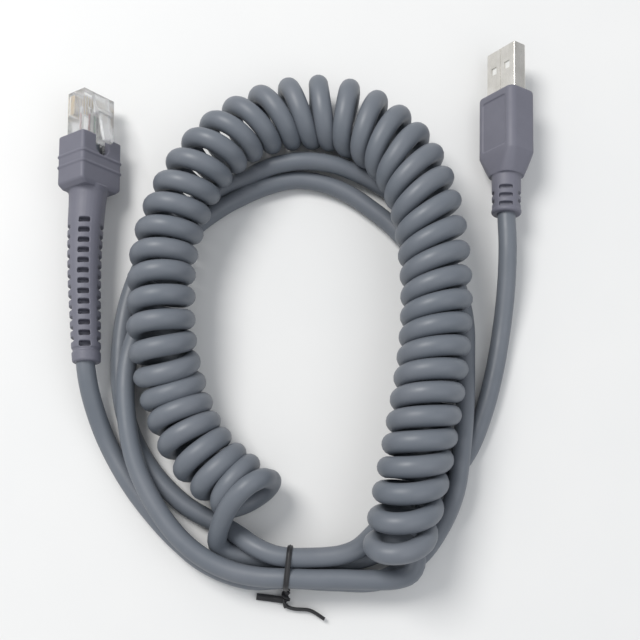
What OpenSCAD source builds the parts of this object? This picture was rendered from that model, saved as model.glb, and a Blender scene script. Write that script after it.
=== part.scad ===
// Curly interface cable of a handheld barcode scanner: a latching modular plug at the scanner end,
// a USB-A plug at the host end, and between them a cord whose middle is wound as a curly section.
// The cable lies looped and held by a twist tie. Millimetres, +Z up, z = 0 is the table.

/* [Cord] */
// Outside diameter of the cord's jacket
cord_d = 5.2; // [4.6:0.1:5.2]
// Outside diameter of the curly section
curl_d = 18.5; // [17:0.5:18.5]
// Sides of the swept cord tubes
cord_sides = 8; // [8:1:12]

/* [Modular plug] */
// Width of the clear plug housing
mod_w = 11.68; // [9.6:0.01:11.68]
// Height of the clear plug housing without its latch
mod_h = 6.6; // [6.4:0.05:6.6]
// Length of the clear plug housing
mod_l = 21.5; // [20:0.5:23]
// Number of contact blades
mod_contacts = 10; // [4:2:10]
// Distance between neighbouring blades
mod_pitch = 1.02; // [1:0.01:1.05]
// How far the housing stands out of the hood
mod_exposed = 14; // [12:0.5:15]
// Angle of the latch arm above the housing at rest, in degrees
latch_angle = 12; // [10:1:14]

/* [Modular boot] */
// Width of the hood that holds the plug
hood_w = 14.4; // [14.4:0.1:15]
// Height of the hood
hood_h = 10; // [9.8:0.1:10.4]
// Length of the hood
hood_l = 15.2; // [14.8:0.1:17]
// Length of the tapered strain relief behind the hood
boot_l = 50.5; // [46:0.5:52]
// Radius of the strain relief where it meets the hood
boot_r_top = 5.3; // [5:0.1:5.4]
// Radius of the strain relief where the cord leaves it
boot_r_end = 3.9; // [3.6:0.1:4.2]
// Number of flex slots on each side of the strain relief
boot_slots = 13; // [8:1:13]

/* [USB plug] */
// Width of the metal shell
usb_w = 12; // [11.9:0.05:12.1]
// Height of the metal shell
usb_h = 4.5; // [4.45:0.05:4.55]
// Thickness of the shell's sheet
usb_t = 0.3; // [0.25:0.05:0.35]
// Length of shell that stands out of the overmould
usb_exposed = 14.3; // [12:0.1:14.5]
// Width of the overmoulded grip
grip_w = 14.8; // [14.6:0.1:16]
// Height of the overmoulded grip
grip_h = 9.8; // [9:0.1:10]
// Length of the grip with its taper
grip_l = 26.2; // [24:0.1:27]
// Radius of the neck behind the grip
neck_r = 4.15; // [3.9:0.05:4.3]
// Length of the neck
neck_l = 11.5; // [11:0.1:14]

/* [Twist tie] */
// Width of the tie strip
tie_w = 2; // [1.5:0.1:2.5]
// Thickness of the tie strip
tie_t = 0.5; // [0.4:0.05:0.5]

/* [Hidden] */
$fn = 48;

pvc = [0.42, 0.43, 0.48];
cord_r = cord_d / 2;
curl_r = curl_d / 2;
gap = 0.05;

// Where each plug assembly starts, which is where its cord leaves it, and how it is turned:
// the yaw about Z first, then the roll about its own length.
mod_exit = [-57.3, -14.5, 8.75];
mod_yaw = 2;
mod_roll = 55;
usb_exit = [60.2, 29, 8.05];
usb_yaw = -2.5;
usb_roll = -56.7;

// Axis of the curly section, from the end with the USB lead to the end with the scanner lead.
curly_route = [
    [-12.5, -49.8, 9.3], [-19, -45, 9.3], [-27, -36, 9.3], [-32.5, -23.5, 10], [-35.5, -11, 14],
    [-36.2, 1, 15.2], [-36, 15, 14.8], [-32.5, 29, 14.8], [-26, 42, 14.6], [-15.5, 54, 11.8],
    [-2, 61, 9.4], [12, 61.5, 9.4], [24, 55, 10.5], [32.5, 44, 13.2], [37, 30.5, 14.8],
    [39, 16, 14.8], [39.2, 1.5, 14.8], [38, -13, 14.8], [35.5, -27.5, 14.8], [32.5, -42, 14.8],
    [28.3, -59.5, 14.8]
];

// The scanner lead: from the boot through the tie, twice round the ring, to the curly section.
scanner_route = [
    mod_exit, [-55.8, -23, 6.7], [-51.8, -34.5, 3.2], [-44.8, -46.5, 2.7], [-37.6, -55.5, 2.7],
    [-30.5, -62.6, 2.7], [-23.3, -68, 2.7], [-12.4, -72, 2.7], [-1, -71.85, 3.3],
    [11, -72.5, 2.7], [23, -72.2, 2.7], [33.5, -66, 2.7],
    [39.3, -58.3, 4.6], [43, -49.5, 7.9], [45.2, -37, 8.2], [46.8, -25, 6],
    [47.8, -13, 3], [48, -1, 2.7], [45.3, 12, 2.7], [39, 25, 2.7], [30.5, 35.5, 2.7],
    [24, 40.2, 3.2], [18, 43, 4.6], [11, 45.2, 6.2], [2, 46, 6.9], [-7, 44.7, 6],
    [-14, 42.3, 3.8], [-22, 38.9, 2.7], [-33, 31.5, 2.7],
    [-41.8, 20, 2.7], [-47, 7, 2.7], [-49, -6.5, 2.7], [-48.5, -20, 2.7], [-45.3, -32, 2.7],
    [-38.8, -43.3, 2.7], [-30.6, -51.6, 2.7], [-25, -55.2, 2.7], [-20, -57.6, 2.7],
    [-14.8, -60.6, 5.1], [-10.5, -63.6, 7.6], [-5.5, -65.8, 8.4], [-1, -66.6, 8.6],
    [4.5, -66.6, 8.2], [9, -66.4, 8.1], [13, -65.8, 8], [17, -64.2, 7.4], [21, -60.6, 5.2],
    [25, -56, 2.8], [31, -48, 2.7], [35.5, -36, 2.7], [38.5, -23, 2.7], [40.3, -10, 2.7],
    [40, 3, 2.7], [36.3, 16, 2.7], [28.3, 27, 2.7], [21, 33.4, 2.7], [15, 37.6, 2.7],
    [8, 40.6, 2.7], [0, 41.8, 2.7], [-8.5, 39.8, 2.7], [-15, 36.9, 2.7],
    [-22.7, 32.4, 2.7], [-31.5, 24.7, 2.7], [-38.6, 12.3, 2.7], [-43, -1.5, 5.2],
    [-46, -14.5, 7.6], [-45.5, -29, 8], [-42.3, -42.3, 8], [-36.4, -53.6, 8], [-29.8, -61.8, 8],
    [-22.8, -67.1, 8], [-15.6, -70.2, 8.1], [-8, -71.6, 8.3], [-1, -71.85, 8.6],
    [5, -72.1, 8.4], [12, -72.1, 8.2], [20, -72.3, 8.2], [27.2, -72, 8.2], [30.7, -70.6, 8.2],
    [32.2, -67.2, 8.2], [30.8, -63.6, 8.2], [27.8, -61.8, 8.2]
];

// The USB lead: from the top of the curly section's other end, through the tie, to the USB neck.
usb_route = [
    [-8.3, -46.9, 16.4], [-11.9, -49.2, 18.2], [-15.8, -53, 16.3], [-18.3, -56.9, 12.6],
    [-19.8, -60.4, 8.8], [-20.1, -63, 5.6], [-18.2, -64.6, 3.6], [-14, -65.8, 2.8],
    [-8, -66.4, 2.7], [-1, -66.6, 3.3], [8, -66.8, 2.7], [17, -66.9, 2.7],
    [26, -63.2, 2.7], [33.5, -56, 2.7], [40.5, -47, 2.7], [47.5, -38, 2.7], [52, -28, 2.7],
    [55.5, -16.5, 2.7], [58, -4.5, 3.2], [59.6, 8, 5.5], [60.2, 20, 7.7], usb_exit
];

// ---- swept tubes

function unit(v) = v / norm(v);

// Direction of a route at one of its points.
function heading(route, i) =
    unit(route[min(i + 1, len(route) - 1)] - route[max(i - 1, 0)]);

// A level direction across the route, and the one square to both.
function across(h) = unit([h.y, -h.x, 0]);

// Ring of points round the route at point i. Turning it by half a side keeps a flat underneath.
function ring(route, i, r, sides) =
    let (h = heading(route, i), a = across(h), b = cross(a, h))
    [for (k = [0 : sides - 1])
        let (t = 360 * (k + 0.5) / sides) route[i] + r * (cos(t) * a + sin(t) * b)];

// A closed tube along a route.
module sweep(route, r, sides) {
    n = len(route);
    points = [for (i = [0 : n - 1]) each ring(route, i, r, sides)];
    walls = [for (i = [0 : n - 2], k = [0 : sides - 1])
        let (a = i * sides + k, b = i * sides + (k + 1) % sides)
        [a, a + sides, b + sides, b]];
    start = [for (k = [0 : sides - 1]) k];
    end = [for (k = [sides - 1 : -1 : 0]) (n - 1) * sides + k];
    polyhedron(points, concat(walls, [start, end]), convexity = 10);
}

// ---- shared shapes

// Flat rectangle centred on the origin with rounded corners.
module round_rect(w, h, r) {
    square([w - 2 * r, h], center = true);
    square([w, h - 2 * r], center = true);
    for (x = [-1, 1], y = [-1, 1])
        translate([x * (w / 2 - r), y * (h / 2 - r)]) circle(r);
}

// Extrudes a flat shape drawn in X and Z along +Y from y0.
module along_y(y0, length) {
    translate([0, y0 + length, 0]) rotate([90, 0, 0]) linear_extrude(length) children();
}

// Round bar along +Y.
module bar(x, z, y0, length, r) {
    translate([x, y0, z]) rotate([-90, 0, 0]) cylinder(h = length, r = r);
}

// Puts a plug, drawn along +Y from its cord exit, where it lies.
module placed(exit, yaw, roll) {
    translate(exit) rotate([0, 0, yaw]) rotate([0, roll, 0]) children();
}

module modular_place() { placed(mod_exit, mod_yaw, mod_roll) children(); }
module usb_place() { placed(usb_exit, usb_yaw, usb_roll) children(); }

// Flex slots cut into a neck, on two opposite sides: count of them from y0 at the given pitch.
module flex_slots(y0, count, pitch, slot_w, slot_l, inner_r) {
    for (i = [0 : count - 1], side = [0, 180])
        rotate([0, side, 0])
            translate([-slot_w / 2, y0 + i * pitch, inner_r]) cube([slot_w, slot_l, 6]);
}

// ---- modular plug, along +Y, with its latch side up

hood_y = boot_l;
mod_nose = boot_l + hood_l + mod_exposed;
mod_back = mod_nose - mod_l;
blade_l = 6;
blade_t = 0.35;
cavity_w = 6.4;
cavity_h = 5.3;
cavity_l = 9;
latch_w = 6;
tab_w = 3.2;
latch_t = 1.1;
latch_l = 15;
latch_step = 6;
hinge_r = 0.55;
hinge_y = mod_nose - 1.4;
hinge_z = mod_h / 2 + hinge_r + gap;
recess_w = 5;
recess_l = 5.2;
core_r = 0.5;
core_pitch = 1.05;
channel_l = 9;
core_l = 8.5;
jacket_in = 8;
jacket_stop = 2.5;
nose_inset = 1;
nose_t = 0.6;
lock_h = 0.6;
lock_l = 1.2;
tab_cut = 1;
corner_r = 0.8;
bevel_l = 1.3;
rib_h = 0.25;
slot_w = 3.4;
slot_l = 1.5;
slot_pitch = 2.95;
slot_y = 4.6;

function blade_x(i) = (i - (mod_contacts - 1) / 2) * mod_pitch;

module modular_plug_body() {
    color([0.9, 0.92, 0.93, 0.45]) modular_place() difference() {
        union() {
            translate([-mod_w / 2, mod_back, -mod_h / 2]) cube([mod_w, mod_l, mod_h]);
            translate([-mod_w / 2 + nose_inset, mod_nose, -mod_h / 2 + nose_inset])
                cube([mod_w - 2 * nose_inset, nose_t, mod_h - 2 * nose_inset]);
        }
        // Rear mouth that takes the jacket.
        translate([-cavity_w / 2, mod_back - 1, -cavity_h / 2])
            cube([cavity_w, cavity_l + 1, cavity_h]);
        // Channels for the cores, up to the blades.
        for (i = [-2 : 2])
            bar(i * core_pitch, 0, mod_back + cavity_l - 1, channel_l, core_r + gap);
        // Slots of the blades.
        for (i = [0 : mod_contacts - 1])
            translate([blade_x(i) - blade_t / 2 - gap, mod_nose - blade_l - 0.8, -mod_h / 2 - 1])
                cube([blade_t + 2 * gap, blade_l + 0.1, 3.2]);
        // Window over the crimped jacket bar.
        translate([-2, mod_back + 3, mod_h / 2 - 0.9]) cube([4, 3, 2]);
    }
}

module modular_contacts() {
    color([0.85, 0.68, 0.3]) modular_place()
        for (i = [0 : mod_contacts - 1])
            translate([blade_x(i) - blade_t / 2, mod_nose - blade_l - 0.75, -mod_h / 2 + 0.35])
                cube([blade_t, blade_l, 1.8]);
}

module modular_latch() {
    color([0.9, 0.92, 0.93, 0.45]) modular_place()
        translate([0, hinge_y, hinge_z]) {
            rotate([0, 90, 0]) cylinder(h = latch_w, r = hinge_r, center = true);
            rotate([-latch_angle, 0, 0]) {
                translate([-latch_w / 2, -latch_step, -hinge_r])
                    cube([latch_w, latch_step, latch_t]);
                translate([-tab_w / 2, -latch_l, -hinge_r]) cube([tab_w, latch_l - tab_cut, latch_t]);
                // Shoulder that locks behind the jack's lip.
                translate([-latch_w / 2, -latch_step, latch_t - hinge_r - 0.1])
                    cube([latch_w, lock_l, lock_h]);
            }
        }
}

// Flat bevel round the hood's rear edge and the pocket for the housing.
module modular_boot() {
    color(pvc) modular_place() difference() {
        union() {
            along_y(hood_y + bevel_l + 0.1, hood_l - bevel_l - 0.1)
                round_rect(hood_w, hood_h, corner_r);
            hull() {
                along_y(hood_y + bevel_l, 0.2) round_rect(hood_w, hood_h, corner_r);
                along_y(hood_y, 0.2) round_rect(hood_w - 3, hood_h - 0.6, corner_r);
            }
            // Two raised ribs round the hood.
            for (y = [5.6, 8.8])
                along_y(hood_y + y, 0.7)
                    round_rect(hood_w + 2 * rib_h, hood_h + 2 * rib_h, corner_r + rib_h);
            translate([0, 3, 0]) rotate([-90, 0, 0])
                cylinder(h = boot_l - 2.5, r1 = boot_r_end - 0.2, r2 = boot_r_top);
            bar(0, 0, 0, 3.2, boot_r_end);
        }
        // Pocket of the housing.
        translate([-mod_w / 2 - gap, mod_back - gap, -mod_h / 2 - gap])
            cube([mod_w + 2 * gap, mod_l, mod_h + 2 * gap]);
        // Bore of the jacket, behind the pocket.
        bar(0, 0, mod_back - jacket_in, jacket_in + 1, cord_r + gap);
        // Recess that clears the latch tab.
        translate([-recess_w / 2, hood_y + hood_l - recess_l, mod_h / 2 - gap])
            cube([recess_w, recess_l + 1, hood_h]);
        rotate([0, -45, 0])
            flex_slots(slot_y, boot_slots, slot_pitch, slot_w, slot_l, boot_r_end - 1.2);
        rotate([0, 45, 0])
            flex_slots(slot_y + slot_pitch / 2, boot_slots - 1, slot_pitch, slot_w, slot_l,
                       boot_r_end - 1.2);
    }
}

module modular_jacket_end() {
    color(pvc) modular_place()
        bar(0, 0, mod_back - jacket_in + gap, jacket_in + cavity_l - jacket_stop, cord_r);
}

// One core of the modular end, in its channel i.
module modular_core(i) {
    modular_place()
        bar(i * core_pitch, 0, mod_back + cavity_l - jacket_stop + gap, core_l, core_r);
}

module modular_core_red() { color([0.45, 0.12, 0.12]) modular_core(-2); }
module modular_core_white() { color([0.95, 0.94, 0.9]) modular_core(-1); }
module modular_core_green() { color([0.2, 0.45, 0.25]) modular_core(0); }
module modular_core_black() { color([0.1, 0.1, 0.1]) modular_core(1); }
module modular_drain_wire() { color([0.75, 0.74, 0.72]) modular_core(2); }

// ---- cord

module lead_scanner() { color(pvc) sweep(scanner_route, cord_r, cord_sides); }
module curly_section() { color(pvc * 1.08) sweep(curly_route, curl_r, 12); }
module lead_usb() { color(pvc) sweep(usb_route, cord_r, cord_sides); }

// ---- USB plug, along +Y, with its marked wide face up

grip_y = neck_l;
grip_front = neck_l + grip_l;
usb_front = grip_front + usb_exposed;
taper_l = 6.4;
grip_r = 2.2;
panel_w = 9.6;
panel_l = 15.5;
panel_t = 0.3;
shell_in = 6.2;
shell_back = grip_front - shell_in;
tongue_t = 1.84;
fit_w = usb_w - 2 * usb_t - 4 * gap;
fit_h = usb_h - 2 * usb_t - 4 * gap;
tongue_l = 15.5;
inner_w = 11.2;
inner_h = 6.4;
inner_l = 11;
inner_y = shell_back - inner_l;
usb_core_x = [-3.4, -1.1, 1.1, 3.4];
usb_core_z = 1.2;
contact_w = 1;
contact_t = 0.3;
ring_t = 0.3;
ring_l = 4;
joint_y = inner_y + 5;
usb_jacket_in = 7;
neck_slot_w = 3.7;
neck_slot_l = 1.2;
neck_pitch = 2.5;
neck_slot_y = 1.4;
window_w = 2.2;
window_l = 2.4;

module usb_overmould() {
    color(pvc) usb_place() difference() {
        union() {
            along_y(grip_y + taper_l, grip_l - taper_l) round_rect(grip_w, grip_h, grip_r);
            hull() {
                along_y(grip_y + taper_l, 0.2) round_rect(grip_w, grip_h, grip_r);
                bar(0, 0, grip_y, 0.2, neck_r + 0.2);
            }
            bar(0, 0, 0, neck_l + 0.1, neck_r);
        }
        // Shallow panels on both wide faces.
        for (side = [0, 180])
            rotate([0, side, 0]) translate([-panel_w / 2, grip_front - 18, grip_h / 2 - panel_t])
                cube([panel_w, panel_l, 1]);
        // Room for the shell and for the inner mould behind it.
        translate([-usb_w / 2 - gap, shell_back - gap, -usb_h / 2 - gap])
            cube([usb_w + 2 * gap, shell_in + 1, usb_h + 2 * gap]);
        translate([-inner_w / 2 - gap, inner_y - gap, -inner_h / 2 - gap])
            cube([inner_w + 2 * gap, inner_l + gap, inner_h + 2 * gap]);
        // Bore of the jacket.
        bar(0, 0, inner_y - usb_jacket_in, usb_jacket_in + 1, cord_r + gap);
        rotate([0, 45, 0])
            flex_slots(neck_slot_y, 3, neck_pitch, neck_slot_w, neck_slot_l, neck_r - 1.2);
        rotate([0, -45, 0])
            flex_slots(neck_slot_y + neck_pitch / 2, 2, neck_pitch, neck_slot_w, neck_slot_l,
                       neck_r - 1.2);
    }
}

// Clear polyethylene block moulded over the solder joints, with channels for the cores.
module usb_inner_mould() {
    color([0.93, 0.93, 0.88]) usb_place() difference() {
        translate([-inner_w / 2, inner_y, -inner_h / 2]) cube([inner_w, inner_l - gap, inner_h]);
        for (x = usb_core_x) bar(x, usb_core_z, joint_y, inner_l, core_r + gap);
        bar(0, -usb_core_z, joint_y, inner_l, core_r + gap);
        bar(0, 0, inner_y - 1, 6.2, cord_r + ring_t + gap);
    }
}

module usb_shell() {
    color([0.8, 0.79, 0.76]) usb_place() difference() {
        along_y(shell_back, shell_in + usb_exposed) round_rect(usb_w, usb_h, 0.6);
        along_y(shell_back - 1, shell_in + usb_exposed + 2)
            round_rect(usb_w - 2 * usb_t, usb_h - 2 * usb_t, 0.3);
        // Two latch windows in each wide face.
        for (side = [-1, 1])
            translate([side * 2.75 - window_w / 2, usb_front - 7.6, -usb_h])
                    cube([window_w, window_l, 2 * usb_h]);
    }
}

// Insulator: a block that fills the shell's rear, and the tongue that carries the contacts.
module usb_tongue() {
    color([0.95, 0.95, 0.93]) usb_place() difference() {
        union() {
            translate([-fit_w / 2, shell_back, -fit_h / 2]) cube([fit_w, 4, fit_h]);
            translate([-fit_w / 2, shell_back, fit_h / 2 - tongue_t])
                cube([fit_w, tongue_l, tongue_t]);
        }
        for (i = [0 : 3])
            translate([usb_contact_x(i) - contact_w / 2 - gap, shell_back - 1,
                       fit_h / 2 - tongue_t - 2 * contact_t])
                cube([contact_w + 2 * gap, tongue_l - 0.6, 3 * contact_t]);
    }
}

// The two outer contacts stand further out than the two inner ones.
function usb_contact_x(i) = [-3.5, -1, 1, 3.5][i];

module usb_contacts() {
    color([0.88, 0.72, 0.35]) usb_place()
        for (i = [0 : 3])
            translate([usb_contact_x(i) - contact_w / 2, shell_back + 0.1,
                       fit_h / 2 - tongue_t - gap / 2])
                cube([contact_w, tongue_l - (i % 3 == 0 ? 2 : 3), contact_t]);
}

// Ring crimped over the jacket inside the inner mould.
module usb_crimp_ring() {
    color([0.7, 0.7, 0.68]) usb_place() difference() {
        bar(0, 0, inner_y + 0.5, ring_l, cord_r + ring_t);
        bar(0, 0, inner_y, 2 * ring_l, cord_r + gap);
    }
}

module usb_jacket_end() {
    color(pvc) usb_place() bar(0, 0, inner_y - usb_jacket_in + gap, 12, cord_r);
}

// One core of the USB end, from the jacket's end to the contacts.
module usb_core(x, z) {
    usb_place() bar(x, z, joint_y + 2 * gap, shell_back - joint_y - 4 * gap, core_r);
}

module usb_core_red() { color([0.75, 0.12, 0.1]) usb_core(usb_core_x[0], usb_core_z); }
module usb_core_white() { color([0.95, 0.94, 0.9]) usb_core(usb_core_x[1], usb_core_z); }
module usb_core_green() { color([0.15, 0.5, 0.25]) usb_core(usb_core_x[2], usb_core_z); }
module usb_core_black() { color([0.1, 0.1, 0.1]) usb_core(usb_core_x[3], usb_core_z); }
module usb_drain_wire() { color([0.75, 0.74, 0.72]) usb_core(0, -usb_core_z); }

// ---- twist tie, round the four strands that pass each other at x = -1

tie_x = -1;
tie_mid = [-69.22, 5.95];
tie_in = [10.75, 10.75];
tie_r = 2.4;
knot_r = 1.2;
knot_l = 2;
tail_l = 9;

// Outline of a strip of even thickness along a flat path.
function strip_side(path, d) =
    [for (i = [0 : len(path) - 1])
        let (h = unit(path[min(i + 1, len(path) - 1)] - path[max(i - 1, 0)]))
        path[i] + d * [-h.y, h.x]];
function reversed(list) = [for (i = [len(list) - 1 : -1 : 0]) list[i]];
module strip(path, t) {
    polygon(concat(strip_side(path, t / 2), reversed(strip_side(path, -t / 2))));
}

tail_route = [[-1.6, -76.2], [-1.4, -79], [0.4, -80], [4, -80.2], [6.4, -80.8], [9, -82]];

module tie_strip() {
    color([0.09, 0.09, 0.1]) {
        // Loop round the bundle.
        translate([tie_x - tie_w / 2, tie_mid.x, tie_mid.y]) rotate([90, 0, 90])
            linear_extrude(tie_w) difference() {
                round_rect(tie_in.x + 2 * tie_t, tie_in.y + 2 * tie_t, tie_r);
                round_rect(tie_in.x, tie_in.y, tie_r - tie_t);
            }
        // Twisted knot.
        translate([tie_x - 0.8, tie_mid.x - tie_in.x / 2 - 0.1, 1.5]) rotate([90, 0, 0])
            cylinder(h = knot_l, r1 = knot_r, r2 = 0.75 * knot_r);
        // Flat tail to the left, and the tail on edge to the right.
        translate([-2, -76.9, 1.2]) rotate([0, 0, 172]) translate([0, -tie_w / 2, 0])
            cube([tail_l, tie_w, tie_t]);
        translate([0, 0, 0.2]) linear_extrude(tie_w) strip(tail_route, 0.8);
    }
}

modular_plug_body();
modular_contacts();
modular_latch();
modular_boot();
modular_jacket_end();
modular_core_red();
modular_core_white();
modular_core_green();
modular_core_black();
modular_drain_wire();
lead_scanner();
curly_section();
lead_usb();
usb_overmould();
usb_inner_mould();
usb_shell();
usb_tongue();
usb_contacts();
usb_crimp_ring();
usb_jacket_end();
usb_core_red();
usb_core_white();
usb_core_green();
usb_core_black();
usb_drain_wire();
tie_strip();
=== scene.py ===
import bpy
import bmesh
import math
import numpy as np
from mathutils import Matrix, Vector


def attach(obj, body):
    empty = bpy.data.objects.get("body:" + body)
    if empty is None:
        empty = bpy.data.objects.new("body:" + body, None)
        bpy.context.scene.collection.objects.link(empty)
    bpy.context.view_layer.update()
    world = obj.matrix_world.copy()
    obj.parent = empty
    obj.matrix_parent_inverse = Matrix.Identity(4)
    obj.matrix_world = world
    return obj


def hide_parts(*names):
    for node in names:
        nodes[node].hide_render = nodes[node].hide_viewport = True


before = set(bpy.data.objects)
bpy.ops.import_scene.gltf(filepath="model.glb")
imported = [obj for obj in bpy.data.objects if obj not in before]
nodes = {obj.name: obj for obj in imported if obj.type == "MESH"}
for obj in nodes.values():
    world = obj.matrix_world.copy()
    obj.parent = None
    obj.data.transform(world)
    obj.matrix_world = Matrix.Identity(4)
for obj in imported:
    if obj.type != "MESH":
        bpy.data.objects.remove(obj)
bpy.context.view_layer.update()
MM = 0.001

# ------------------------------------------------------------------ camera
AIM = Vector((0.007, 0.0, 0.0))
camera_data = bpy.data.cameras.new("camera")
camera_data.sensor_width = 36.0
camera_data.lens = 59.06
camera_data.clip_start = 0.01
camera = bpy.data.objects.new("camera", camera_data)
bpy.context.collection.objects.link(camera)
elevation = math.radians(75.0)
distance = 0.300
camera.location = AIM + Vector((0, -math.cos(elevation), math.sin(elevation))) * distance
camera.rotation_euler = (math.radians(90.0) - elevation, 0, 0)
bpy.context.scene.camera = camera

# ------------------------------------------------------------------ routes, in mm, as in part.scad
# The curl's route has one more point here, at its end, for the last turn to stand on.
CORD_R = 2.6
CURL_CORD_R = 2.85      # the curl's cord is a little thicker than the straight leads
TURN_R = 6.55           # of the centreline
FLOOR_GAP = 0.05        # under the cord where it lies on the floor
MOD_EXIT, MOD_YAW, MOD_ROLL = (-57.3, -14.5, 8.75), 2, 55
USB_EXIT, USB_YAW, USB_ROLL = (60.2, 29, 8.05), -2.5, -56.7

CURLY_ROUTE = [
    (-12.5, -49.8, 9.3), (-19, -45, 9.3), (-27, -36, 9.3), (-32.5, -23.5, 10), (-35.5, -11, 14),
    (-36.2, 1, 15.2), (-36, 15, 14.8), (-32.5, 29, 14.8), (-26, 42, 14.6), (-15.5, 54, 11.8),
    (-2, 61, 9.4), (12, 61.5, 9.4), (24, 55, 10.5), (32.5, 44, 13.2), (37, 30.5, 14.8),
    (39, 16, 14.8), (39.2, 1.5, 14.8), (38, -13, 14.8), (35.5, -27.5, 14.8), (32.5, -42, 14.8),
    (28.3, -59.5, 14.8), (26.1, -68, 14.8)]
SCANNER_ROUTE = [
    MOD_EXIT, (-55.8, -23, 6.7), (-51.8, -34.5, 3.2), (-44.8, -46.5, 2.7), (-37.6, -55.5, 2.7),
    (-30.5, -62.6, 2.7), (-23.3, -68, 2.7), (-12.4, -72, 2.7), (-1, -71.85, 3.3),
    (11, -72.5, 2.7), (23, -72.2, 2.7), (33.5, -66, 2.7),
    (39.3, -58.3, 4.6), (43, -49.5, 7.9), (45.2, -37, 8.2), (46.8, -25, 6),
    (47.8, -13, 3), (48, -1, 2.7), (45.3, 12, 2.7), (39, 25, 2.7), (30.5, 35.5, 2.7),
    (24, 40.2, 3.2), (18, 43, 4.6), (11, 45.2, 6.2), (2, 46, 6.9), (-7, 44.7, 6),
    (-14, 42.3, 3.8), (-22, 38.9, 2.7), (-33, 31.5, 2.7),
    (-41.8, 20, 2.7), (-47, 7, 2.7), (-49, -6.5, 2.7), (-48.5, -20, 2.7), (-45.3, -32, 2.7),
    (-38.8, -43.3, 2.7), (-30.6, -51.6, 2.7), (-25, -55.2, 2.7), (-20, -57.6, 2.7),
    (-14.8, -60.6, 5.1), (-10.5, -63.6, 7.6), (-5.5, -65.8, 8.4), (-1, -66.6, 8.6),
    (4.5, -66.6, 8.2), (9, -66.4, 8.1), (13, -65.8, 8), (17, -64.2, 7.4), (21, -60.6, 5.2),
    (25, -56, 2.8), (31, -48, 2.7), (35.5, -36, 2.7), (38.5, -23, 2.7), (40.3, -10, 2.7),
    (40, 3, 2.7), (36.3, 16, 2.7), (28.3, 27, 2.7), (21, 33.4, 2.7), (15, 37.6, 2.7),
    (8, 40.6, 2.7), (0, 41.8, 2.7), (-8.5, 39.8, 2.7), (-15, 36.9, 2.7),
    (-22.7, 32.4, 2.7), (-31.5, 24.7, 2.7), (-38.6, 12.3, 2.7), (-43, -1.5, 5.2),
    (-46, -14.5, 7.6), (-45.5, -29, 8), (-42.3, -42.3, 8), (-36.4, -53.6, 8), (-29.8, -61.8, 8),
    (-22.8, -67.1, 8), (-15.6, -70.2, 8.1), (-8, -71.6, 8.3), (-1, -71.85, 8.6),
    (5, -72.1, 8.4), (12, -72.1, 8.2), (20, -72.3, 8.2), (27.2, -72, 8.2), (30.7, -70.6, 8.2),
    (32.2, -67.2, 8.2), (30.8, -63.6, 8.2), (27.8, -61.8, 8.2)]
USB_ROUTE = [
    (-8.3, -46.9, 16.4), (-11.9, -49.2, 18.2), (-15.8, -53, 16.3), (-18.3, -56.9, 12.6),
    (-19.8, -60.4, 8.8), (-20.1, -63, 5.6), (-18.2, -64.6, 3.6), (-14, -65.8, 2.8),
    (-8, -66.4, 2.7), (-1, -66.6, 3.3), (8, -66.8, 2.7), (17, -66.9, 2.7),
    (26, -63.2, 2.7), (33.5, -56, 2.7), (40.5, -47, 2.7), (47.5, -38, 2.7), (52, -28, 2.7),
    (55.5, -16.5, 2.7), (58, -4.5, 3.2), (59.6, 8, 5.5), (60.2, 20, 7.7), USB_EXIT]

# The 44 turns. Each row: a turn, the mm along the axis at which it crosses the top, half of how far
# its inner side stands ahead of its outer side, half of how far its top stands ahead of its
# bottom, and half of how much further than TURN_R its inner side reaches.
TURNS = [
    (0, -9.3, -1.0, 3.0, 0), (1, -3.9, -1.4, 0.7, 0), (2, 1.2, -1.5, 0, 0),
    (4, 14.2, -1.2, 0, 0), (8, 39.0, -0.8, 0, 0), (13, 71.4, -0.5, -0.3, 0),
    (18, 105.7, 0.3, -0.8, 0.4), (22, 135.9, 0.4, -1.2, 1.9), (25, 159.6, 2.1, -1.2, 1.5),
    (28, 181.2, 2.5, -0.3, 0.9), (32, 207.9, 1.4, 0, 0.5), (37, 238.8, 0.7, 0.2, 0.4),
    (41, 265.7, 1.1, 2.4, 0.3), (43, 281.0, 1.1, 4.0, 0)]
TOP_TURN = TURNS[-1][0] + 0.44      # where the scanner's lead meets the curl
LAST_TURN = 0.19                    # where the curl meets the USB lead
AXIS_START = 8.1                    # mm from the route's start to the axis's zero
AXIS_STEP = 0.5
POINTS_PER_TURN = 36
LEAD_STEP = 1.2
LEAD_IN_BOOT, LEAD_IN_GRIP = 4, 3   # mm that the leads run on inside the mouldings
BLEND_POINTS = 4                    # points of the curl that each lead is laid through


def smooth(points, step):
    """Points on a centripetal Catmull-Rom curve through the given ones, about a step apart."""
    p = np.array(points, float)
    p = np.vstack([2 * p[0] - p[1], p, 2 * p[-1] - p[-2]])
    out = []
    for i in range(1, len(p) - 2):
        a, b, c, d = p[i - 1:i + 3]
        ta = 0.0
        tb = ta + np.linalg.norm(b - a) ** 0.5
        tc = tb + np.linalg.norm(c - b) ** 0.5
        td = tc + np.linalg.norm(d - c) ** 0.5
        count = max(2, int(np.linalg.norm(c - b) / step))
        for t in np.linspace(tb, tc, count, endpoint=False):
            ab = (tb - t) / (tb - ta) * a + (t - ta) / (tb - ta) * b
            bc = (tc - t) / (tc - tb) * b + (t - tb) / (tc - tb) * c
            cd = (td - t) / (td - tc) * c + (t - tc) / (td - tc) * d
            abc = (tc - t) / (tc - ta) * ab + (t - ta) / (tc - ta) * bc
            bcd = (td - t) / (td - tb) * bc + (t - tb) / (td - tb) * cd
            out.append((tc - t) / (tc - tb) * abc + (t - tb) / (tc - tb) * bcd)
    out.append(p[-2])
    return np.array(out)


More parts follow.
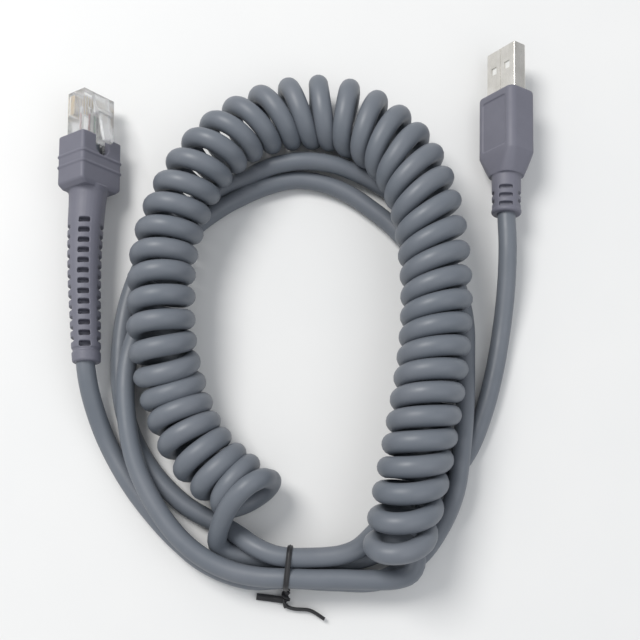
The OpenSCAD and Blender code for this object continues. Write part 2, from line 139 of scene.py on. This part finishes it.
def eased(rows, column, u):
    """Value of a table's column at u, on a smooth curve through its rows."""
    x, y = [r[0] for r in rows], [r[column] for r in rows]
    last = len(x) - 1
    slopes = []
    for i in range(last + 1):
        before = (y[i] - y[i - 1]) / (x[i] - x[i - 1]) if i else None
        after = (y[i + 1] - y[i]) / (x[i + 1] - x[i]) if i < last else before
        slopes.append((before + after) / 2 if i else after)
    if u <= x[0]:
        return y[0] + slopes[0] * (u - x[0])
    if u >= x[-1]:
        return y[-1] + slopes[-1] * (u - x[-1])
    i = max(k for k in range(last) if x[k] <= u)
    span = x[i + 1] - x[i]
    f = (u - x[i]) / span
    return ((2 * f ** 3 - 3 * f ** 2 + 1) * y[i] + (f ** 3 - 2 * f ** 2 + f) * span * slopes[i]
            + (3 * f ** 2 - 2 * f ** 3) * y[i + 1] + (f ** 3 - f ** 2) * span * slopes[i + 1])


axis = smooth(CURLY_ROUTE, AXIS_STEP)
axis_at = np.concatenate([[0], np.cumsum(np.linalg.norm(np.diff(axis, axis=0), axis=1))])


def on_axis(s):
    """Point of the curl's axis s mm along it, and its direction there."""
    s = s + AXIS_START
    near = min(max(s, AXIS_STEP), axis_at[-1] - AXIS_STEP)
    behind, here, ahead = (np.array([np.interp(at, axis_at, axis[:, k]) for k in range(3)])
                           for at in (near - AXIS_STEP, near, near + AXIS_STEP))
    along = (ahead - behind) / np.linalg.norm(ahead - behind)
    return here + (s - near) * along, along


def turn_point(u):
    """Point of the cord's centreline after u turns, where each whole number is a turn's top."""
    side, up = math.sin(2 * math.pi * u), math.cos(2 * math.pi * u)
    s = eased(TURNS, 1, u) + eased(TURNS, 2, u) * side + eased(TURNS, 3, u) * (up - 1)
    wider = eased(TURNS, 4, u)
    centre, along = on_axis(s)
    inner = np.array([along[1], -along[0], 0])
    inner /= np.linalg.norm(inner)
    return (centre + (wider + (TURN_R + wider) * side) * inner
            + TURN_R * up * np.cross(inner, along))


def placing(exit, yaw, roll):
    """Where a plug lies that is drawn along +Y from its cord exit."""
    return (Matrix.Translation(Vector(exit) * MM) @ Matrix.Rotation(math.radians(yaw), 4, "Z")
            @ Matrix.Rotation(math.radians(roll), 4, "Y"))


MOD_PLACE = placing(MOD_EXIT, MOD_YAW, MOD_ROLL)
USB_PLACE = placing(USB_EXIT, USB_YAW, USB_ROLL)


def inside(place, depth):
    """A point of a plug's own axis, that many mm inside it."""
    return tuple(place @ Vector((0, depth * MM, 0)) / MM)


count = int((TOP_TURN - LAST_TURN) * POINTS_PER_TURN)
helix = [turn_point(TOP_TURN - k / POINTS_PER_TURN) for k in range(count + 1)]
scanner_lead = smooth([inside(MOD_PLACE, LEAD_IN_BOOT)] + SCANNER_ROUTE
                      + [tuple(helix[0]), tuple(helix[BLEND_POINTS])], LEAD_STEP)
scanner_lead = scanner_lead[:np.argmin(np.linalg.norm(scanner_lead - helix[0], axis=1))]
usb_lead = smooth([tuple(helix[-1 - BLEND_POINTS]), tuple(helix[-1])] + USB_ROUTE
                  + [inside(USB_PLACE, LEAD_IN_GRIP)], LEAD_STEP)
usb_lead = usb_lead[np.argmin(np.linalg.norm(usb_lead - helix[-1], axis=1)) + 1:]
centreline = np.vstack([scanner_lead, helix, usb_lead])

# The thickness grows to the curl's over one turn at each end.
first, final = len(scanner_lead), len(scanner_lead) + len(helix)
along_cord = np.arange(len(centreline))
in_curl = np.clip(np.minimum(along_cord - first, final - along_cord) / POINTS_PER_TURN, 0, 1)
thickness = 1 + (CURL_CORD_R / CORD_R - 1) * in_curl
centreline[:, 2] = np.maximum(centreline[:, 2], CORD_R * thickness + FLOOR_GAP)


# ------------------------------------------------------------------ materials
def new_material(name):
    """A new material, its node tree and its shader."""
    mat = bpy.data.materials.new(name)
    mat.use_nodes = True
    tree = mat.node_tree
    shader = next(n for n in tree.nodes if n.type == "BSDF_PRINCIPLED")
    return mat, tree, shader


def add_noise(tree, scale, detail=3.0, rough=0.5, stretch=None):
    """Noise over the object's own coordinates, stretched along an axis if asked."""
    coords = tree.nodes.new("ShaderNodeTexCoord")
    noise = tree.nodes.new("ShaderNodeTexNoise")
    noise.inputs["Scale"].default_value = scale
    noise.inputs["Detail"].default_value = detail
    noise.inputs["Roughness"].default_value = rough
    if stretch:
        mapping = tree.nodes.new("ShaderNodeMapping")
        mapping.inputs["Scale"].default_value = stretch
        tree.links.new(coords.outputs["Object"], mapping.inputs["Vector"])
        tree.links.new(mapping.outputs["Vector"], noise.inputs["Vector"])
    else:
        tree.links.new(coords.outputs["Object"], noise.inputs["Vector"])
    return noise


NOISE_LOW, NOISE_HIGH = 0.3, 0.7      # the span that a noise mostly keeps to


def add_ramp(tree, source, low, high):
    """Colour from low to high over a noise."""
    ramp = tree.nodes.new("ShaderNodeValToRGB")
    for element, at, colour in zip(ramp.color_ramp.elements, (NOISE_LOW, NOISE_HIGH), (low, high)):
        element.position = at
        element.color = (*colour, 1)
    tree.links.new(source.outputs["Fac"], ramp.inputs["Fac"])
    return ramp


def add_range(tree, source, low, high):
    """Number from low to high over a noise."""
    span = tree.nodes.new("ShaderNodeMapRange")
    span.inputs["From Min"].default_value = NOISE_LOW
    span.inputs["From Max"].default_value = NOISE_HIGH
    span.inputs["To Min"].default_value = low
    span.inputs["To Max"].default_value = high
    tree.links.new(source.outputs["Fac"], span.inputs["Value"])
    return span


def add_bump(tree, shader, layers):
    """Chains one bump node per (noise, strength, height in metres)."""
    last = None
    for noise, strength, height in layers:
        bump = tree.nodes.new("ShaderNodeBump")
        bump.inputs["Strength"].default_value = strength
        bump.inputs["Distance"].default_value = height
        tree.links.new(noise.outputs["Fac"], bump.inputs["Height"])
        if last:
            tree.links.new(last.outputs["Normal"], bump.inputs["Normal"])
        last = bump
    tree.links.new(last.outputs["Normal"], shader.inputs["Normal"])


def plastic(name, low, high, rough, grain=2600.0, bump=0.25):
    """Moulded plastic: cloudy colour, roughness that varies, fine grain and a slow ripple."""
    mat, tree, shader = new_material(name)
    cloud = add_noise(tree, 60.0, 4.0, 0.6)
    fine = add_noise(tree, grain, 2.0)
    ripple = add_noise(tree, 260.0, 2.0)
    tree.links.new(add_ramp(tree, cloud, low, high).outputs["Color"], shader.inputs["Base Color"])
    tree.links.new(add_range(tree, ripple, rough - 0.04, rough + 0.05).outputs["Result"],
                   shader.inputs["Roughness"])
    shader.inputs["IOR"].default_value = 1.5
    add_bump(tree, shader, [(ripple, bump, 0.00012), (fine, bump, 0.00003)])
    return mat


def metal(name, low, high, rough, stretch):
    """Plated sheet: brushed along one direction, with cloudy wear."""
    mat, tree, shader = new_material(name)
    brush = add_noise(tree, 900.0, 3.0, 0.6, stretch)
    cloud = add_noise(tree, 180.0, 3.0)
    tree.links.new(add_ramp(tree, cloud, low, high).outputs["Color"], shader.inputs["Base Color"])
    tree.links.new(add_range(tree, brush, rough - 0.06, rough + 0.1).outputs["Result"],
                   shader.inputs["Roughness"])
    shader.inputs["Metallic"].default_value = 1.0
    add_bump(tree, shader, [(brush, 0.15, 0.00002)])
    return mat


def clear(name, tint, rough):
    """Clear moulded polycarbonate with slight flow lines."""
    mat, tree, shader = new_material(name)
    flow = add_noise(tree, 220.0, 3.0, 0.6, (1.0, 0.3, 1.0))
    tree.links.new(add_ramp(tree, flow, tint, (1, 1, 1)).outputs["Color"],
                   shader.inputs["Base Color"])
    tree.links.new(add_range(tree, flow, rough, rough + 0.06).outputs["Result"],
                   shader.inputs["Roughness"])
    shader.inputs["IOR"].default_value = 1.45
    shader.inputs["Transmission Weight"].default_value = 0.8
    add_bump(tree, shader, [(flow, 0.12, 0.0001)])
    return mat


cord_mat = plastic("cord_pvc_satin", (0.130, 0.148, 0.174), (0.155, 0.170, 0.196), 0.45)
boot_mat = plastic("boot_pvc_matt", (0.140, 0.141, 0.176), (0.160, 0.160, 0.198), 0.55,
                   grain=2200.0, bump=0.4)
tie_mat = plastic("tie_black_pvc", (0.012, 0.012, 0.014), (0.03, 0.03, 0.033), 0.38)
shell_mat = metal("shell_nickel", (0.62, 0.60, 0.56), (0.74, 0.72, 0.68), 0.24, (1.0, 0.05, 1.0))
gold_mat = metal("contact_gold", (0.75, 0.52, 0.2), (0.86, 0.64, 0.3), 0.25, (1.0, 0.1, 1.0))
tin_mat = metal("tinned_metal", (0.55, 0.54, 0.52), (0.66, 0.65, 0.63), 0.35, (1.0, 1.0, 0.2))
clear_mat = clear("clear_polycarbonate", (0.96, 0.965, 0.97), 0.14)
milky_mat = plastic("milky_polyethylene", (0.7, 0.7, 0.66), (0.8, 0.8, 0.76), 0.4)
tongue_mat = plastic("white_pbt", (0.72, 0.72, 0.7), (0.8, 0.8, 0.78), 0.45)
core_mats = {
    "red": plastic("core_red", (0.20, 0.03, 0.025), (0.28, 0.05, 0.04), 0.4),
    "white": plastic("core_white", (0.66, 0.65, 0.61), (0.76, 0.75, 0.71), 0.4),
    "green": plastic("core_green", (0.03, 0.16, 0.06), (0.05, 0.22, 0.09), 0.4),
    "black": plastic("core_black", (0.012, 0.012, 0.012), (0.03, 0.03, 0.03), 0.4)}


def give(obj, mat):
    """Makes a material the object's only one."""
    obj.data.materials.clear()
    obj.data.materials.append(mat)


# ------------------------------------------------------------------ the cord
curve = bpy.data.curves.new("cord", "CURVE")
curve.dimensions = "3D"
curve.bevel_depth = CORD_R * MM
curve.bevel_resolution = 7
curve.use_fill_caps = True
spline = curve.splines.new("POLY")
spline.points.add(len(centreline) - 1)
flat = np.column_stack([centreline * MM, np.ones(len(centreline))])
spline.points.foreach_set("co", flat.ravel())
spline.points.foreach_set("radius", thickness)
spline.use_smooth = True
cord = bpy.data.objects.new("cord", curve)
bpy.context.collection.objects.link(cord)
curve.materials.append(cord_mat)
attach(cord, "cable")
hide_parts("lead_scanner", "curly_section", "lead_usb")


# ------------------------------------------------------------------ shapes
def rounded(w, h, r, corner=8):
    """Outline of a rounded rectangle, anticlockwise; a circle when r is nearly half of both."""
    out = []
    for k, (sx, sy) in enumerate(((1, 1), (-1, 1), (-1, -1), (1, -1))):
        for j in range(corner + 1):
            t = math.radians(90 * (k + j / corner))
            out.append((sx * (w / 2 - r) + r * math.cos(t), sy * (h / 2 - r) + r * math.sin(t)))
    return out


def circle(r):
    """Outline of a circle with as many points as a rounded rectangle."""
    return rounded(2 * r, 2 * r, 0.985 * r)


def skin(bm, rings, closed=False):
    """Faces over rings of equally many points in mm, capped unless the rings close up."""
    loops = [[bm.verts.new(Vector(p) * MM) for p in ring] for ring in rings]
    pairs = list(zip(loops, loops[1:])) + ([(loops[-1], loops[0])] if closed else [])
    for a, b in pairs:
        for k in range(len(a)):
            n = (k + 1) % len(a)
            bm.faces.new((a[k], b[k], b[n], a[n]))
    if not closed:
        bm.faces.new(loops[0][::-1])
        bm.faces.new(loops[-1])


def loft(bm, sections):
    """Solid along +Y through (y, outline in X and Z) sections."""
    skin(bm, [[(x, y, z) for x, z in outline] for y, outline in sections])


def block(bm, x, y, z, w, l, h, r=0.3, turn=0.0):
    """Box with its low face at z, its upright edges rounded, turned about the Y axis."""
    outline = rounded(w, l, r, 5)
    spin = Matrix.Rotation(math.radians(turn), 4, "Y")
    skin(bm, [[spin @ Vector((x + a, y + b, level)) for a, b in outline] for level in (z, z + h)])


def solid(name, bm, place=None):
    """Object made of a bmesh, which is used up."""
    bmesh.ops.recalc_face_normals(bm, faces=bm.faces)
    mesh = bpy.data.meshes.new(name)
    bm.to_mesh(mesh)
    bm.free()
    obj = bpy.data.objects.new(name, mesh)
    bpy.context.collection.objects.link(obj)
    if place:
        obj.matrix_world = place
    return obj


def settle(obj):
    """Turns an object's modifiers into its mesh."""
    bpy.context.view_layer.update()
    done = bpy.data.meshes.new_from_object(obj.evaluated_get(
        bpy.context.evaluated_depsgraph_get()))
    obj.modifiers.clear()
    obj.data = done


def carve(obj, cutters):
    """Takes the solids of a bmesh out of an object."""
    tool = solid("cutter", cutters, obj.matrix_world.copy())
    cut = obj.modifiers.new("cut", "BOOLEAN")
    cut.operation, cut.solver, cut.object = "DIFFERENCE", "EXACT", tool
    settle(obj)
    bpy.data.objects.remove(tool)


def soften(obj, voxel, rounds):
    """Remeshes a moulding evenly, so that its edges come out slightly rounded."""
    remesh = obj.modifiers.new("remesh", "REMESH")
    remesh.mode, remesh.voxel_size = "VOXEL", voxel * MM
    relax = obj.modifiers.new("relax", "SMOOTH")
    relax.factor, relax.iterations = 0.5, rounds
    settle(obj)
    obj.data.polygons.foreach_set("use_smooth", [True] * len(obj.data.polygons))


def join(name, parts):
    """One object of several whose meshes share a place."""
    bm = bmesh.new()
    for part in parts:
        bm.from_mesh(part.data)
    whole = solid(name, bm, parts[0].matrix_world.copy())
    for part in parts:
        bpy.data.objects.remove(part)
    return whole


# ------------------------------------------------------------------ boot of the modular plug
BOOT_L, BOOT_TOP_R, BOOT_END_R = 49.9, 5.3, 3.9
HOOD_W, HOOD_H, HOOD_L, HOOD_R = 15.0, 10.4, 15.8, 0.9
HOOD_FRONT = BOOT_L + HOOD_L
HOOD_LIFT = 0.4         # rests the hood's lowest corner on the floor
RIBS_AT, RIB_L, RIB_H, RIB_EDGE = (6.0, 9.2), 0.7, 0.25, 0.1
MOD_W, MOD_H, MOD_BACK, CAVITY_L = 11.78, 6.7, 58.2, 16
NOTCH_W, NOTCH_L, NOTCH_H, NOTCH_DEPTH, NOTCH_R = 5.0, 8, 4, 5.6, 2.2
SLOTS, SLOT_Y, SLOT_PITCH, SLOT_CUT = 13, 4.7, 2.95, 6
# How far the relief bends aside from its own axis: mm along it, mm to world +X.
BEND = [(0, 0.3), (12, -0.3), (25, -0.85), (38, -0.85), (48, -0.4), (54, 0)]


def relief_r(y):
    """Radius of the strain relief y mm from the cord's exit."""
    return BOOT_END_R + (BOOT_TOP_R - BOOT_END_R) * y / BOOT_L


def seen_from(place, x, y, z):
    """A world direction in a plug's own axes."""
    return place.to_3x3().inverted() @ Vector((x, y, z))


def make_hood():
    """Boxy hood with two ribs, hollow for the plug, with a U notch over the latch."""
    inset = [(0.0, 3.0, 0.7), (1.0, 0.5, 0.12), (1.5, 0, 0)]
    for rib in RIBS_AT:
        inset += [(rib, 0, 0), (rib + RIB_EDGE, -2 * RIB_H, -2 * RIB_H),
                  (rib + RIB_L - RIB_EDGE, -2 * RIB_H, -2 * RIB_H), (rib + RIB_L, 0, 0)]
    inset += [(HOOD_L - 0.3, 0, 0), (HOOD_L, 0.5, 0.5)]
    bm = bmesh.new()
    loft(bm, [(BOOT_L + y, rounded(HOOD_W - dw, HOOD_H - dh, HOOD_R)) for y, dw, dh in inset])
    hood = solid("hood", bm, MOD_PLACE)
    bm = bmesh.new()
    block(bm, 0, MOD_BACK + CAVITY_L / 2, -MOD_H / 2, MOD_W, CAVITY_L, MOD_H, 0.2)
    carve(hood, bm)
    bm = bmesh.new()
    block(bm, 0, HOOD_FRONT - NOTCH_DEPTH + NOTCH_L / 2, MOD_H / 2 - 0.4,
          NOTCH_W, NOTCH_L, NOTCH_H, NOTCH_R)
    carve(hood, bm)
    hood.data.transform(Matrix.Translation(seen_from(MOD_PLACE, 0, 0, 1) * HOOD_LIFT * MM))
    return hood


def make_relief():
    """Tapered strain relief with a collar, slotted on four sides in turn, bent a little aside."""
    collar = [(0, 0.35), (0.3, 0.05), (2.6, 0.0), (3.0, 0.35), (3.6, 0.35), (4.0, 0.0)]
    middle = [(4 + 3.7 * k, 0) for k in range(1, 12)]
    root = [(46, 0), (49, -0.1), (BOOT_L + 0.8, -0.7)]
    bm = bmesh.new()
    loft(bm, [(y, circle(relief_r(y) - dr)) for y, dr in collar + middle + root])
    relief = solid("relief", bm, MOD_PLACE)
    bm = bmesh.new()
    for k in range(SLOTS):
        y = SLOT_Y + k * SLOT_PITCH
        for turn in (-45, 135):
            block(bm, -0.2, y, relief_r(y) - 2.3, 3.1, 1.45, SLOT_CUT, 0.25, turn)
        if k < SLOTS - 1:
            y += SLOT_PITCH / 2
            for turn in (45, -135):
                block(bm, 0, y, relief_r(y) - 0.95, 6, 1.3, SLOT_CUT, 0.5, turn)
    carve(relief, bm)
    aside = seen_from(MOD_PLACE, 1, 0, 0)
    for v in relief.data.vertices:
        v.co += aside * eased(BEND, 1, v.co.y / MM) * MM
    return relief


boot = join("boot", [make_hood(), make_relief()])
soften(boot, 0.2, 2)
give(boot, boot_mat)
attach(boot, "cable")
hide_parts("modular_boot")

# ------------------------------------------------------------------ overmould of the USB plug
NECK_L, NECK_R = 11.5, 4.15
GRIP_FRONT, GRIP_W, GRIP_H, GRIP_R, TAPER_L = 37.1, 14.8, 9.8, 2.2, 6.4
SHELL_BACK, USB_FRONT, USB_W, USB_H, USB_T = 31.5, 52.0, 12.0, 4.5, 0.3
TAPER_W, TAPER_H, TAPER_R = 2 * NECK_R + 1.2, 2 * NECK_R + 0.4, 3.4     # at its small end
PANEL_W, PANEL_L, PANEL_AT, PANEL_DEEP = 9.6, 15.5, 10.2, 0.3
NECK_SLOTS, NECK_PITCH, NECK_SLOT_L = 3, 2.5, 1.15


def make_grip():
    """Grip with a panel on both faces, tapered to a slotted neck, hollow for the shell."""
    neck = [(0, -0.25), (0.4, 0.1), (1.0, 0.1), (1.4, -0.1), (4, -0.05), (8, 0),
            (NECK_L - 0.05, 0)]
    sections = [(y, circle(NECK_R + dr)) for y, dr in neck]
    for f, bulge in ((0.0, 0.0), (0.33, 0.1), (0.66, 0.1), (0.9, 0.05), (1.0, 0.0)):
        w = TAPER_W + (GRIP_W - TAPER_W) * f + bulge
        h = TAPER_H + (GRIP_H - TAPER_H) * f + bulge
        r = TAPER_R + (GRIP_R - TAPER_R) * f
        sections.append((NECK_L + TAPER_L * f, rounded(w, h, r)))
    sections += [(GRIP_FRONT - 0.8, rounded(GRIP_W, GRIP_H, GRIP_R)),
                 (GRIP_FRONT - 0.3, rounded(GRIP_W - 0.25, GRIP_H - 0.25, GRIP_R)),
                 (GRIP_FRONT, rounded(GRIP_W - 1.0, GRIP_H - 1.0, GRIP_R - 0.4))]
    bm = bmesh.new()
    loft(bm, sections)
    grip = solid("grip", bm, USB_PLACE)
    bm = bmesh.new()
    block(bm, 0, SHELL_BACK + 10, -USB_H / 2, USB_W + 0.1, 20, USB_H, 0.1)
    for turn in (0, 180):
        block(bm, 0, GRIP_FRONT - PANEL_AT, GRIP_H / 2 - PANEL_DEEP, PANEL_W, PANEL_L, 2, 0.8, turn)
    for k in range(NECK_SLOTS):
        for turn in (45, -135):
            block(bm, 0, 2.1 + NECK_PITCH * k, NECK_R - 1.4, 3.9, NECK_SLOT_L, 4, 0.4, turn)
        if k < NECK_SLOTS - 1:
            for turn in (-45, 135):
                block(bm, 0, 3.3 + NECK_PITCH * k, NECK_R - 0.9, 6, NECK_SLOT_L, 4, 0.45, turn)
    carve(grip, bm)
    return grip


grip = make_grip()
soften(grip, 0.17, 2)
give(grip, boot_mat)
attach(grip, "cable")
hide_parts("usb_overmould")

# ------------------------------------------------------------------ USB shell
WINDOW_X, WINDOW_AT, WINDOW_W, WINDOW_L = 2.75, 6.4, 2.2, 2.4
SEAM_W, SEAM_DEEP = 0.12, 0.12


def make_shell():
    """Folded shell with a flared mouth, two latch windows on both faces and a seam."""
    bm = bmesh.new()
    loft(bm, [(y, rounded(USB_W - d, USB_H - d, 0.6)) for y, d in
              ((SHELL_BACK, 0), (USB_FRONT - 0.15, 0), (USB_FRONT, 0.15))])
    shell = solid("shell", bm, USB_PLACE)
    bm = bmesh.new()
    loft(bm, [(y, rounded(USB_W - 2 * USB_T + d, USB_H - 2 * USB_T + d, 0.35)) for y, d in
              ((SHELL_BACK - 1, 0), (USB_FRONT - 0.5, 0), (USB_FRONT, 0.35),
               (USB_FRONT + 1, 0.35))])
    carve(shell, bm)
    bm = bmesh.new()
    for side in (-1, 1):
        block(bm, side * WINDOW_X, USB_FRONT - WINDOW_AT, -USB_H, WINDOW_W, WINDOW_L, 2 * USB_H,
              0.15)
    block(bm, 0, USB_FRONT - 8, USB_H / 2 - SEAM_DEEP, SEAM_W, 18, 1, 0.05)
    carve(shell, bm)
    rim = shell.modifiers.new("rim", "BEVEL")
    rim.width, rim.segments, rim.limit_method, rim.angle_limit = 0.05 * MM, 2, "ANGLE", 0.9
    settle(shell)
    return shell


shell = make_shell()
give(shell, shell_mat)
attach(shell, "cable")
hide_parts("usb_shell")

# ------------------------------------------------------------------ twist tie
# The strip's section, in halves of its width and of its thickness: a thin wing on each side of
# the wire in its middle.
STRIP = [(1, 0), (0.85, 0.5), (0.35, 0.6), (0.2, 1), (-0.2, 1), (-0.35, 0.6), (-0.85, 0.5),
         (-1, 0), (-0.85, -0.5), (-0.35, -0.6), (-0.2, -1), (0.2, -1), (0.35, -0.6), (0.85, -0.5)]
# The loop round the four strands leans to the left on its way down to the knot.
LOOP_X, LOOP_Y, LOOP_Z, LOOP_LEAN = -1.35, -69.22, 5.95, 0.1
LOOP_W, LOOP_H, LOOP_R = 11.2, 11.0, 2.95
KNOT = [Vector((-1.9, -75.2, 2.6)), Vector((-2.1, -77.4, 1.4))]
KNOT_TURNS, KNOT_R, KNOT_STEPS = 1.5, 0.45, 28
# Each end: its strip's thickness, the way its width lies once untwisted, and its points.
TAILS = [(0.45, (0.15, 1, 0.1), [(-3.6, -77.2, 1.2), (-6.5, -76.8, 0.9), (-9.9, -76.4, 1.1)]),
         (0.9, (0, 0.25, 1), [(-2.2, -78.6, 1.3), (-0.2, -79.5, 1.25), (4.4, -80.0, 1.25),
                              (8.2, -82.2, 1.3)])]
axis_way = (KNOT[1] - KNOT[0]).normalized()
across = axis_way.cross(Vector((0, 0, 1))).normalized()
upright = across.cross(axis_way)


def ribbon(bm, path, w, t, width_way, closed=False):
    """Strip along a path, its width along the given direction at each point."""
    rings = []
    for i, p in enumerate(path):
        ahead = path[(i + 1) % len(path)] if closed else path[min(i + 1, len(path) - 1)]
        behind = path[i - 1] if closed else path[max(i - 1, 0)]
        along = (Vector(ahead) - Vector(behind)).normalized()
        wide = Vector(width_way(i))
        wide = (wide - wide.dot(along) * along).normalized()
        flat = along.cross(wide)
        rings.append([Vector(p) + a * w / 2 * wide + b * t / 2 * flat for a, b in STRIP])
    skin(bm, rings, closed)


def add_end(bm, half_turn, thick, rest, points):
    """One end of the tie: its share of the knot's two-strand twist, then its loose tail."""
    twist = []
    for j in range(KNOT_STEPS + 1):
        f = j / KNOT_STEPS
        turn = 2 * math.pi * KNOT_TURNS * f + math.pi * half_turn
        twist.append(tuple(KNOT[0].lerp(KNOT[1], f)
                           + KNOT_R * (math.cos(turn) * across + math.sin(turn) * upright)))
    path = [tuple(p) for p in smooth(twist[::4] + points, 0.35)]
    turned = len(path) * 0.45

    def width_way(i):
        f = min(i / turned, 1.0)
        turn = 2 * math.pi * KNOT_TURNS * f + math.pi * half_turn
        spun = -math.sin(turn) * across + math.cos(turn) * upright
        return spun.lerp(Vector(rest), max(0.0, min(1.0, (i / turned - 0.75) * 4)))

    ribbon(bm, path, 1.8, thick, width_way)


bm = bmesh.new()
loop = [(LOOP_X + LOOP_LEAN * y, LOOP_Y + y, LOOP_Z + z)
        for y, z in rounded(LOOP_W, LOOP_H, LOOP_R)]
ribbon(bm, loop, 1.4, 0.75, lambda i: (1, 0, 0), closed=True)
for half_turn, (thick, rest, points) in enumerate(TAILS):
    add_end(bm, half_turn, thick, rest, points)
tie = solid("twist_tie", bm)
tie.data.polygons.foreach_set("use_smooth", [True] * len(tie.data.polygons))
give(tie, tie_mat)
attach(tie, "cable")
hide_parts("tie_strip")

# ------------------------------------------------------------------ stage
bpy.ops.mesh.primitive_plane_add(size=4.0, location=(0, 0, 0))
floor = bpy.context.object
floor.name = "floor"
floor_mat, floor_tree, floor_shader = new_material("floor_white")
speck = add_noise(floor_tree, 9.0, 4.0, 0.6)
floor_tree.links.new(add_ramp(floor_tree, speck, (0.735, 0.74, 0.74), (0.77, 0.77, 0.765))
                     .outputs["Color"], floor_shader.inputs["Base Color"])
floor_shader.inputs["Roughness"].default_value = 0.6
give(floor, floor_mat)


def add_light(name, place, size, power, colour):
    """Round area light that shines at the middle of the floor."""
    data = bpy.data.lights.new(name, "AREA")
    data.shape = "DISK"
    data.size = size
    data.energy = power
    data.color = colour
    light = bpy.data.objects.new(name, data)
    light.location = place
    toward = Vector((0, 0, 0)) - Vector(place)
    light.rotation_euler = toward.to_track_quat("-Z", "Y").to_euler()
    bpy.context.collection.objects.link(light)


add_light("key", (-0.45, 0.4, 0.9), 0.5, 8.0, (1.0, 0.985, 0.96))
add_light("fill", (0.6, -0.3, 0.8), 0.9, 2.0, (0.94, 0.97, 1.0))
world = bpy.data.worlds.new("world")
world.use_nodes = True
backdrop = world.node_tree.nodes["Background"]
backdrop.inputs["Color"].default_value = (0.95, 0.97, 1.0, 1)
backdrop.inputs["Strength"].default_value = 0.57
bpy.context.scene.world = world
bpy.context.scene.view_settings.view_transform = "Standard"

# ------------------------------------------------------------------ carried-over CAD nodes
node_mats = {
    "modular_plug_body": clear_mat, "modular_latch": clear_mat,
    "modular_contacts": gold_mat, "usb_contacts": gold_mat,
    "modular_drain_wire": tin_mat, "usb_drain_wire": tin_mat, "usb_crimp_ring": tin_mat,
    "usb_tongue": tongue_mat, "usb_inner_mould": milky_mat}
for name, obj in nodes.items():
    if "_core_" in name:
        give(obj, core_mats[name.rsplit("_", 1)[1]])
    else:
        give(obj, node_mats.get(name, cord_mat))
